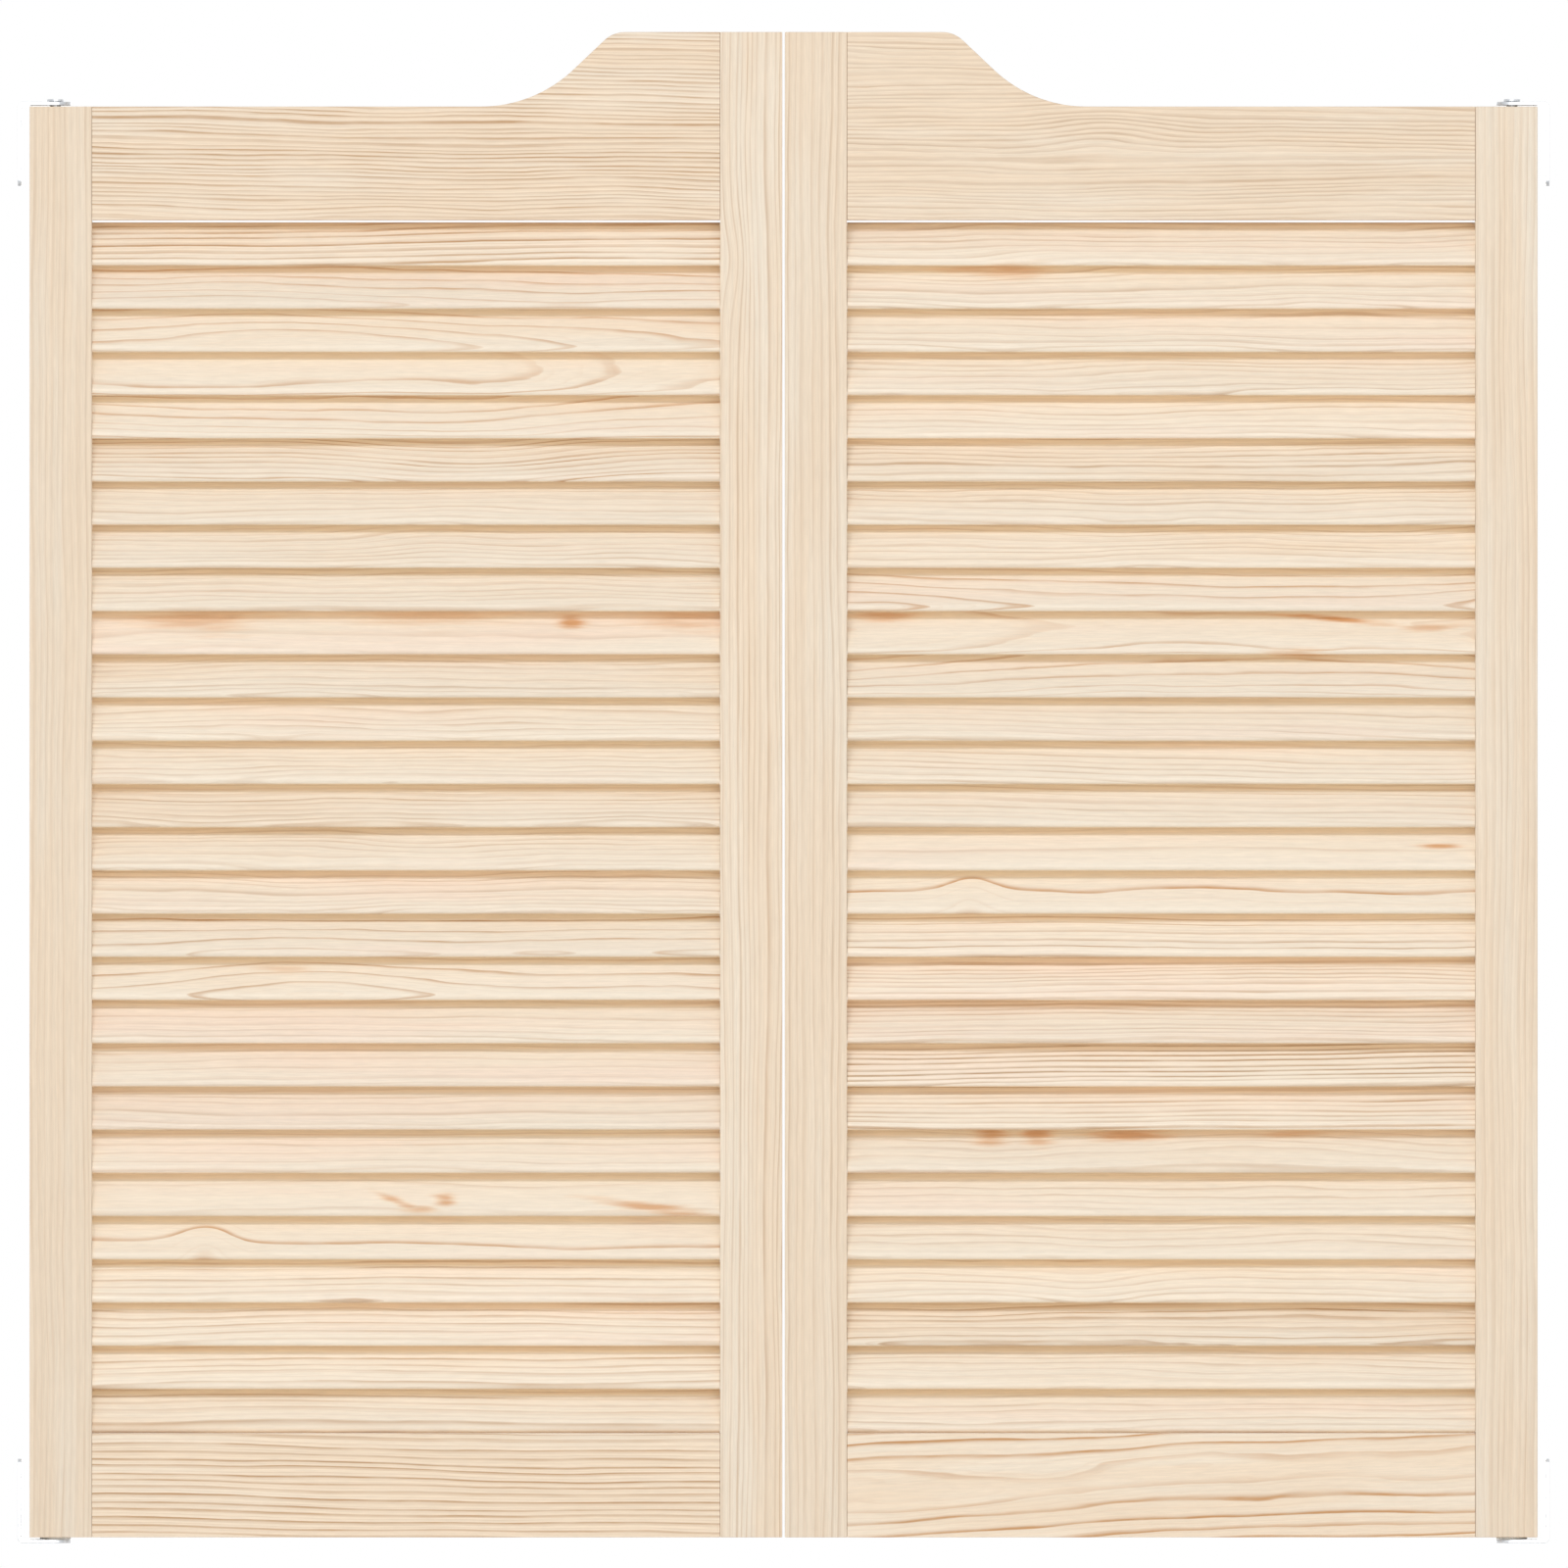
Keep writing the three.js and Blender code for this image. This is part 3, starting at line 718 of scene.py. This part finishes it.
# How many slats in a row come from each plank, from the top down, and the plank
SLAT_PLANKS = {
    "left": [
        (1, dict(ring=0.0049, late=0.5, lines=1.2, wave=0.5, rise=0.016, pale=0.9)),
        (
            4,
            dict(
                ring=0.0052, late=0.28, lines=0.9, fine=0.1, wave=0.9, pale=0.05, warm=1.0,
                flat=(0.835, 0.05),
                swells=[(-0.12, 0.835, 0.2, 0.05, -2.5), (0.05, 0.798, 0.07, 0.03, -0.9)],
            ),
        ),
        (
            1,
            dict(
                ring=0.0034, late=0.5, lines=1.0, wave=0.6, warm=0.6, flat=(0.96, 0.05),
                swells=[(0.045, 0.768, 0.09, 0.03, -2.2)],
            ),
        ),
        (
            3,
            dict(
                ring=0.0036, late=0.5, lines=0.5, wave=1.0, pale=0.05, warm=0.5, flat=(0.96, 0.05),
                swells=[(0.03, 0.714, 0.05, 0.02, 1.2)],
            ),
        ),
        (
            1,
            dict(
                ring=0.008, late=0.4, lines=0.35, wave=1.2, pale=0.2, hue=0.15,
                knots=[
                    (-0.145, 0.654, 0.055, 0.013, 0.62),
                    (0.02, 0.655, 0.06, 0.011, 0.45),
                    (0.117, 0.651, 0.012, 0.006, 0.95),
                    (0.195, 0.653, 0.045, 0.011, 0.6),
                ],
            ),
        ),
        (3, dict(ring=0.0038, late=0.5, lines=0.55, wave=1.1, pale=0.15)),
        (1, dict(ring=0.0036, late=0.6, lines=0.7, wave=0.9, pale=-0.05, hue=-0.1)),
        (2, dict(ring=0.0038, late=0.5, lines=0.55, wave=1.1, pale=0.15, hue=0.05)),
        (
            2,
            dict(
                ring=0.006, late=0.24, lines=1.0, fine=0.1, wave=0.8, warm=0.6, flat=(0.36, 0.05),
                swells=[(-0.07, 0.392, 0.1, 0.03, -1.5)], knots=[(-0.087, 0.405, 0.024, 0.004, 0.45)],
            ),
        ),
        (4, dict(ring=0.005, late=0.4, lines=0.5, wave=0.7, pale=0.05, hue=0.15)),
        (
            1,
            dict(
                ring=0.02, late=0.15, lines=0.35, wave=1.0, pale=-0.05,
                knots=[
                    (-0.007, 0.2405, 0.019, 0.004, 0.8, -0.37),
                    (0.012, 0.2345, 0.015, 0.003, 0.7),
                    (0.028, 0.2405, 0.01, 0.006, 0.9),
                    (0.173, 0.2365, 0.052, 0.0044, 0.85, -0.134),
                ],
            ),
        ),
        (
            1,
            dict(
                ring=0.022, late=0.2, lines=1.15, fine=0.08, wave=1.1, pale=0.1, warm=1.0, flat=(0.41, 0.05),
                swells=[(-0.142, 0.212, 0.022, 0.02, 0.6)],
            ),
        ),
        (3, dict(ring=0.0056, late=0.45, lines=0.8, wave=0.7, pale=0.75, hue=0.1)),
        (1, dict(ring=0.006, late=0.5, lines=0.75, wave=0.6, pale=0.2, hue=-0.05)),
    ],
    "right": [
        (
            5,
            dict(
                ring=0.0043, late=0.5, lines=0.6, wave=1.1, pale=0.3, hue=0.05,
                knots=[(-0.114, 0.9005, 0.047, 0.007, 0.65)],
            ),
        ),
        (1, dict(ring=0.004, late=0.5, lines=0.9, wave=0.9, pale=-0.1, hue=-0.15)),
        (2, dict(ring=0.0043, late=0.5, lines=0.6, wave=1.1, pale=0.2)),
        (
            3,
            dict(
                ring=0.0046, late=0.28, lines=0.9, fine=0.1, wave=0.7, warm=0.9, hue=0.05,
                flat=(0.6452, 0.04),
                swells=[(-0.3, 0.6452, 0.2, 0.06, -2.2), (0.35, 0.6452, 0.12, 0.06, -2.0)],
                knots=[
                    (-0.194, 0.6545, 0.03, 0.007, 0.75),
                    (0.118, 0.6535, 0.05, 0.003, 1.0, -0.077),
                    (0.195, 0.647, 0.03, 0.003, 0.7, 0.05),
                    (0.1, 0.6285, 0.03, 0.004, 0.8),
                ],
            ),
        ),
        (3, dict(ring=0.0042, late=0.5, lines=0.5, wave=0.7, rise=-0.02, pale=0.05)),
        (1, dict(ring=0.012, late=0.2, lines=0.4, wave=0.8, knots=[(0.198, 0.492, 0.02, 0.0025, 0.9)])),
        (
            1,
            dict(
                ring=0.022, late=0.2, lines=1.25, fine=0.1, wave=1.1, pale=0.3, warm=1.0, flat=(0.66, 0.05),
                swells=[(-0.135, 0.463, 0.02, 0.02, 0.45)],
            ),
        ),
        (1, dict(ring=0.0052, late=0.35, lines=1.0, wave=0.6, pale=0.55, hue=0.1)),
        (2, dict(ring=0.0033, late=0.6, lines=0.75, wave=0.7, pale=0.35, hue=0.12)),
        (
            1,
            dict(
                ring=0.0038, late=0.55, lines=1.25, fine=0.1, wave=0.35, rise=0.009, pale=0.55, hue=0.1,
                warm=0.0,
            ),
        ),
        (1, dict(ring=0.0036, late=0.6, lines=1.0, wave=0.5, rise=0.006, pale=0.75, hue=0.05)),
        (
            3,
            dict(
                ring=0.006, late=0.4, lines=0.5, wave=1.2, pale=0.25,
                knots=[
                    (-0.121, 0.288, 0.016, 0.01, 0.85),
                    (-0.088, 0.288, 0.014, 0.01, 0.85),
                    (-0.024, 0.289, 0.034, 0.008, 0.85),
                    (0.094, 0.289, 0.027, 0.006, 0.6),
                ],
            ),
        ),
        (
            1,
            dict(
                ring=0.005, late=0.45, lines=0.5, wave=1.0, pale=0.6,
                swells=[(-0.05, 0.172, 0.05, 0.02, -1.2)],
            ),
        ),
        (1, dict(ring=0.005, late=0.5, lines=1.0, wave=0.9, hue=-0.15)),
        (2, dict(ring=0.005, late=0.45, lines=0.5, wave=1.0, pale=0.25)),
    ],
}

RAIL_HUE = -0.4
STILE_HUE = -0.3
RAIL_PLANKS = {
    "left": {
        "top_rail": dict(
            ring=0.0032, late=0.65, lines=1.0, wave=0.8, rise=-0.012, pale=-0.1, hue=RAIL_HUE,
            swells=[(0.06, 0.99, 0.09, 0.03, 1.2)],
        ),
        "bottom_rail": dict(
            ring=0.0052, late=0.5, lines=1.35, wave=0.55, rise=-0.012, pale=0.15, hue=RAIL_HUE,
        ),
    },
    "right": {
        "top_rail": dict(
            ring=0.0034, late=0.7, lines=0.6, wave=1.0, pale=-0.3, hue=RAIL_HUE,
            swells=[(-0.045, 1.003, 0.045, 0.02, 1.8)],
        ),
        "bottom_rail": dict(
            ring=0.0065, late=0.36, lines=1.3, fine=0.1, wave=0.9, rise=0.045, hue=RAIL_HUE, warm=1.0,
            flat=(0.046, 0.0392),
        ),
    },
}
STILE_PLANKS = {
    "left": {
        "hinge_stile": dict(ring=0.0045, late=0.6, lines=0.32, wave=0.6, pale=-0.8, hue=RAIL_HUE),
        "meeting_stile": dict(
            ring=0.0042, late=0.5, lines=0.62, wave=0.6, pale=-0.4, hue=STILE_HUE,
            swells=[(0.91, -0.012, 0.03, 0.01, 1.2)],
        ),
    },
    "right": {
        "hinge_stile": dict(ring=0.005, late=0.6, lines=0.36, wave=0.6, pale=-0.55, hue=STILE_HUE),
        "meeting_stile": dict(ring=0.006, late=0.5, lines=0.5, wave=0.7, pale=-0.65, hue=STILE_HUE),
    },
}


def slat_level(number):
    """Height of a slat's centre, counted from the top."""
    return first_high.z - slat_height / 2 - number * slat_pitch


def slat_planks(side):
    """The plank of each slat on one leaf, from the top down."""
    planks = []
    for count, plank in SLAT_PLANKS[side]:
        centre = slat_level(len(planks) + (count - 1) / 2)
        planks += [Plank(f"{side} slat {len(planks) + 1}", centre, **plank)] * count
    return planks


blank = slat_blank()
for side in SIDES:
    for node, plank in STILE_PLANKS[side].items():
        stile(side, node, Plank(f"{side} {node}", 0.0, **plank))
    for node, plank in RAIL_PLANKS[side].items():
        rail(side, node, Plank(f"{side} {node}", middle(*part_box(f"{side}_{node}")).z, **plank))
    planks = slat_planks(side)
    for number in range(1, len(planks) // SLATS_PER_NODE + 1):
        slat_pair(side, number, blank, planks)


# Pivots and brackets

def softened(corners):
    """Outline with a small round in place of each corner."""
    outline = []
    for number, corner in enumerate(corners):
        corner = Vector(corner)
        start = corner + (Vector(corners[number - 1]) - corner).normalized() * METAL_EASE
        end = corner + (Vector(corners[(number + 1) % len(corners)]) - corner).normalized() * METAL_EASE
        for step in range(EASE_STEPS + 1):
            share = step / EASE_STEPS
            outline.append(start.lerp(corner, share).lerp(corner.lerp(end, share), share))
    return outline


def turned(axis, corners):
    """Turned piece round an upright axis, from the corners (radius, height) of its section."""
    points = []
    rounds = []
    for radius, height in softened(corners):
        sides = TURNED_SIDES if radius > WELD else 1
        rounds.append([len(points) + side % sides for side in range(TURNED_SIDES)])
        points += [(x, y, height) for x, y in circle((axis.x, axis.y), radius, sides)]
    faces = []
    for number, after in enumerate(rounds):
        before = rounds[number - 1]
        for side in range(TURNED_SIDES):
            face = dict.fromkeys((before[side - 1], before[side], after[side], after[side - 1]))
            if len(face) > 2:
                faces.append(list(face))
    return closed(points, faces)


def ring(name):
    low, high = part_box(name)
    outer = (high.x - low.x) / 2
    corners = [(PIVOT_BORE, low.z), (outer, low.z), (outer, high.z), (PIVOT_BORE, high.z)]
    return turned(middle(low, high), corners)


def bush(name, end, other):
    """Flanged bush. Its flange lies at the stile's end."""
    low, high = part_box(name)
    flange = (high.x - low.x) / 2
    shoulder = end + math.copysign(FLANGE_THICKNESS, other - end)
    corners = [(PIVOT_BORE, end), (flange, end), (flange, shoulder)]
    corners += [(BUSH_RADIUS, shoulder), (BUSH_RADIUS, other), (PIVOT_BORE, other)]
    return turned(middle(low, high), corners)


def top_pin(name):
    low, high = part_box(name)
    head = (high.x - low.x) / 2
    neck = high.z - PIN_HEAD_HEIGHT
    corners = [(0, low.z), (PIVOT_RADIUS, low.z), (PIVOT_RADIUS, neck)]
    corners += [(head, neck), (head, high.z), (0, high.z)]
    return turned(middle(low, high), corners)


def bottom_shaft(name, seat):
    """Shaft with a spring seat and a hexagonal foot."""
    low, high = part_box(name)
    axis = middle(low, high)
    foot = low.z + FOOT_HEIGHT
    start = foot - METAL_EASE * 2
    seat_top = seat + SEAT_THICKNESS
    corners = [(0, start), (PIVOT_RADIUS, start), (PIVOT_RADIUS, seat), (SEAT_RADIUS, seat)]
    corners += [(SEAT_RADIUS, seat_top), (PIVOT_RADIUS, seat_top), (PIVOT_RADIUS, high.z), (0, high.z)]
    hexagon = circle((axis.x, axis.y), PIVOT_RADIUS, HEX_SIDES)
    return welded(combined("UNION", turned(axis, corners), prism(hexagon, along_z, low.z, foot)))


def return_spring(name):
    """Wound wire with a short upright leg at each end."""
    low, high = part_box(name)
    axis = middle(low, high)
    radius = (high.y - low.y) / 2 - WIRE_RADIUS
    route = [(radius, 0.0, low.z)]
    for step in range(SPRING_TURNS * CURL_STEPS + 1):
        turn = 2 * math.pi * step / CURL_STEPS
        height = low.z + 2 * WIRE_RADIUS + SPRING_PITCH * step / CURL_STEPS
        route.append((radius * math.cos(turn), radius * math.sin(turn), height))
    route.append((radius, 0.0, high.z))
    wire = bpy.data.curves.new("work", "CURVE")
    wire.dimensions = "3D"
    wire.bevel_depth = WIRE_RADIUS
    wire.bevel_resolution = WIRE_STEPS
    wire.use_fill_caps = True
    line = wire.splines.new("POLY")
    line.points.add(len(route) - 1)
    for point, (x, y, z) in zip(line.points, route):
        point.co = (axis.x + x, axis.y + y, z, 1.0)
    item = bpy.data.objects.new("work", wire)
    bpy.context.scene.collection.objects.link(item)
    mesh = bpy.data.meshes.new_from_object(item.evaluated_get(bpy.context.evaluated_depsgraph_get()))
    bpy.data.objects.remove(item)
    return welded(mesh)


def bracket(name, hand, rise, axis, hole, hole_sides):
    """Bent strip: an arm with the pivot hole, and a plate along the jamb with screw holes."""
    low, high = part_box(name)
    jamb = low.x if hand > 0 else high.x
    face = low.z if rise > 0 else high.z
    height = high.z - low.z
    length = high.x - low.x
    half = (high.y - low.y) / 2
    pivot = abs(axis.x - jamb)
    bend = BRACKET_THICKNESS + BEND_RADIUS
    quarter = math.pi / 2

    def side_on(u, v, depth):
        return (jamb + hand * u, depth, face + rise * v)

    def from_above(u, v, depth):
        return (jamb + hand * u, v, face + rise * depth)

    def end_on(u, v, depth):
        return (jamb + hand * depth, u, face + rise * v)

    profile = [(length, 0)]
    profile += arc((bend, bend), bend, -quarter, -2 * quarter, BEND_STEPS)
    profile += [(0, height), (BRACKET_THICKNESS, height)]
    profile += arc((bend, bend), BEND_RADIUS, 2 * quarter, 3 * quarter, BEND_STEPS)
    profile += [(length, BRACKET_THICKNESS)]
    strip = prism(profile, side_on, -half, half)

    round_end = arc((pivot, 0), half, -quarter, quarter, TURNED_SIDES // 2)
    plan = [(-OVERRUN, -half), *round_end, (-OVERRUN, half)]
    tongue = prism(plan, from_above, -OVERRUN, height + OVERRUN)

    corner = (half - BRACKET_CORNER, height - BRACKET_CORNER)
    outline = [(-half, -OVERRUN), (half, -OVERRUN)]
    outline += arc(corner, BRACKET_CORNER, 0, quarter, BEND_STEPS)
    outline += arc((-corner[0], corner[1]), BRACKET_CORNER, quarter, 2 * quarter, BEND_STEPS)
    plate = prism(outline, end_on, -OVERRUN, length + OVERRUN)

    holes = [prism(circle((pivot, 0), hole, hole_sides), from_above, -OVERRUN, 2 * bend)]
    for offset in (-SCREW_SPACING / 2, SCREW_SPACING / 2):
        screw_hole = circle((0, (bend + height) / 2 + offset), SCREW_HOLE, CURL_STEPS)
        holes.append(prism(screw_hole, end_on, -OVERRUN, 2 * bend))
    blank = combined("INTERSECT", strip, tongue, plate)
    return eased(combined("DIFFERENCE", blank, *holes), METAL_EASE, EASE_STEPS)


def pivots(side, hand):
    """All that one leaf turns on."""
    def node(name):
        return f"{side}_{name}"

    axis = middle(*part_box(node("top_pivot_pin")))
    low_end, low_top = [corner.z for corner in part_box(node("bottom_bush"))]
    high_foot, high_end = [corner.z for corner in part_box(node("top_bush"))]
    hex_hole = PIVOT_RADIUS + FIT / math.cos(math.pi / HEX_SIDES)
    add_piece(node("bottom_bush"), bush(node("bottom_bush"), low_end, low_top), "nylon")
    add_piece(node("top_bush"), bush(node("top_bush"), high_end, high_foot), "nylon")
    for name in ("spring_cap", "thrust_washer"):
        add_piece(node(name), ring(node(name)), "nylon")
    add_piece(node("return_spring"), return_spring(node("return_spring")), "spring_steel")
    shaft = bottom_shaft(node("bottom_pivot_shaft"), low_top + FIT)
    add_piece(node("bottom_pivot_shaft"), shaft, "zinc_steel")
    add_piece(node("top_pivot_pin"), top_pin(node("top_pivot_pin")), "zinc_steel")
    low_bracket = bracket(node("bottom_bracket"), hand, 1, axis, hex_hole, HEX_SIDES)
    add_piece(node("bottom_bracket"), low_bracket, "zinc_steel")
    high_bracket = bracket(node("top_bracket"), hand, -1, axis, PIVOT_BORE, TURNED_SIDES)
    add_piece(node("top_bracket"), high_bracket, "zinc_steel")


for side, hand in zip(SIDES, (1, -1)):
    pivots(side, hand)

# The CAD nodes that these pieces replace carry the same finishes
for row in frame["record"]["subparts"]:
    for place in frame["nodes"][row["node"]].material_slots:
        place.material = FINISHES[row["material_slot"]]


# Studio
DULL_FLOOR = linear(240, 240, 238)
PALE_FLOOR = linear(248, 248, 247)
FLOOR_CLOUDS = (3, 3, 3)
FLOOR_GRAIN = (400, 400, 400)
FLOOR_ROUGHNESS = (0.1, 0.7)
FLOOR_RELIEF = 0.0001
WHITE = (1, 1, 1, 1)


def floor_finish():
    """Pale floor that keeps the doors' shadow and fades into the white background."""
    shader = Shader("floor")
    place = shader.node("NewGeometry", {}).outputs["Position"]
    cloud = shader.noise(place, FLOOR_CLOUDS, detail=3)
    grain = shader.noise(place, FLOOR_GRAIN, detail=2)
    colour = shader.mix(cloud, DULL_FLOOR, PALE_FLOOR)
    shader.dress(colour, shader.scaled(cloud, *FLOOR_ROUGHNESS), grain, FLOOR_RELIEF)
    flat = shader.vector("MULTIPLY", place, (1, 1, 0))
    away = shader.range(shader.length(flat), *FLOOR_FADE, FLOOR_GLOW, 1.0)
    path = shader.node("LightPath", {}).outputs
    seen = path["Is Camera Ray"]
    for ray in MIRRORED:
        seen = shader.math("MAXIMUM", seen, path[ray])
    seen = shader.math("MULTIPLY", away, seen)
    white = shader.node("Emission", {"Color": WHITE, "Strength": 1.0}).outputs[0]
    blend = shader.node("MixShader", {0: seen, 1: shader.surface.outputs[0], 2: white}).outputs[0]
    shader.put(shader.tree.nodes["Material Output"].inputs["Surface"], blend)
    return shader.material


def floor():
    level = cad_box[0].z - FLOOR_DROP
    rim = [(x, y, level) for x, y in circle((0, 0), FLOOR_RADIUS, FLOOR_SIDES)]
    mesh = bpy.data.meshes.new("floor")
    mesh.from_pydata(rim, [], [list(range(FLOOR_SIDES))])
    mesh.materials.append(floor_finish())
    disc = bpy.data.objects.new("floor", mesh)
    bpy.context.scene.collection.objects.link(disc)


def around(azimuth, elevation, distance):
    """Place seen from the doors' centre: azimuth from the front towards +X, in degrees."""
    turn = math.radians(azimuth)
    lift = math.radians(elevation)
    flat = distance * math.cos(lift)
    return VIEW_CENTRE + Vector((flat * math.sin(turn), -flat * math.cos(turn), distance * math.sin(lift)))


def lamp(name, azimuth, elevation, distance, width, height, watts):
    """White area light that points at the doors' centre and that the camera doesn't see."""
    light = bpy.data.lights.new(name, "AREA")
    light.shape = "RECTANGLE"
    light.size = width
    light.size_y = height
    light.energy = watts
    item = bpy.data.objects.new(name, light)
    item.location = around(azimuth, elevation, distance)
    item.rotation_mode = "QUATERNION"
    item.rotation_quaternion = (VIEW_CENTRE - item.location).to_track_quat("-Z", "Y")
    item.visible_camera = False
    bpy.context.scene.collection.objects.link(item)


def world():
    """White where the camera and reflections see it, softer where it lights the wood."""
    sky = bpy.data.worlds.new("studio")
    bpy.context.scene.world = sky
    sky.use_nodes = True
    nodes = sky.node_tree.nodes
    links = sky.node_tree.links
    path = nodes.new("ShaderNodeLightPath")
    seen = path.outputs["Is Camera Ray"]
    for ray in MIRRORED:
        either = nodes.new("ShaderNodeMath")
        either.operation = "MAXIMUM"
        links.new(seen, either.inputs[0])
        links.new(path.outputs[ray], either.inputs[1])
        seen = either.outputs[0]
    strength = nodes.new("ShaderNodeMapRange")
    links.new(seen, strength.inputs[0])
    strength.inputs["To Min"].default_value = AMBIENT
    strength.inputs["To Max"].default_value = 1.0
    background = nodes["Background"]
    background.inputs["Color"].default_value = WHITE
    links.new(strength.outputs[0], background.inputs["Strength"])


def camera():
    lens = bpy.data.cameras.new("camera")
    lens.sensor_width = SENSOR
    lens.lens = SENSOR * CAMERA_DISTANCE / VIEW_WIDTH
    lens.clip_start = CLIP_START
    lens.clip_end = 2 * CAMERA_DISTANCE
    item = bpy.data.objects.new("camera", lens)
    item.location = VIEW_CENTRE - INWARDS * CAMERA_DISTANCE
    item.rotation_euler = (math.pi / 2, 0, 0)
    bpy.context.scene.collection.objects.link(item)
    bpy.context.scene.camera = item


floor()
lamp("key", azimuth=-9, elevation=25, distance=7.0, width=3.2, height=0.5, watts=150)
lamp("fill", azimuth=4, elevation=3, distance=8.0, width=5.0, height=4.0, watts=132)
lamp("back", azimuth=180, elevation=0, distance=8.0, width=5.0, height=4.0, watts=160)
world()
camera()
bpy.context.scene.view_settings.view_transform = "Standard"
